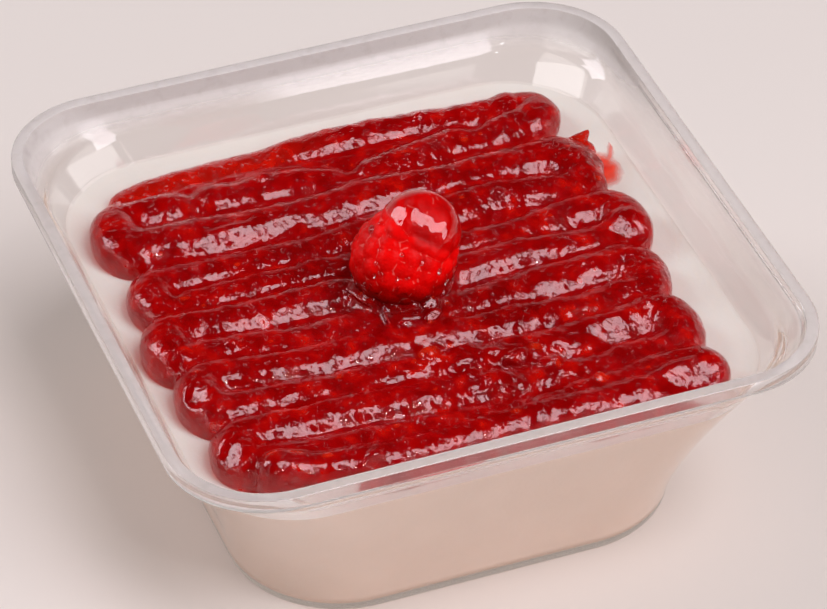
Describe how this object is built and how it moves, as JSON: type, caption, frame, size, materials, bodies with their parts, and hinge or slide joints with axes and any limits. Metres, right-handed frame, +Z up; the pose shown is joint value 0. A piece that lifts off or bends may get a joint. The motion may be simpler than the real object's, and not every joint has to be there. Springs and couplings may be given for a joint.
{
  "type": "milk pudding dessert cup",
  "caption": "Milk pudding in a clear square plastic cup, topped with a piped back-and-forth line of raspberry jam and a raspberry.",
  "frame": {"origin": "middle of the cup's foot, on the surface it stands on", "axes": "+X along the front edge from left to right, -Y towards the front, +Z up"},
  "size_m": [0.11, 0.11, 0.0543],
  "materials": {
    "clear_plastic": "clear, polished",
    "milk_pudding": "smooth, softly moist, slightly translucent",
    "raspberry_jam": "wet, glossy, translucent",
    "raspberry": "glazed, glossy"
  },
  "bodies": {
    "root": {"cup": "clear_plastic", "pudding": "milk_pudding", "jam": "raspberry_jam", "raspberry": "raspberry"}
  },
  "joints": []
}
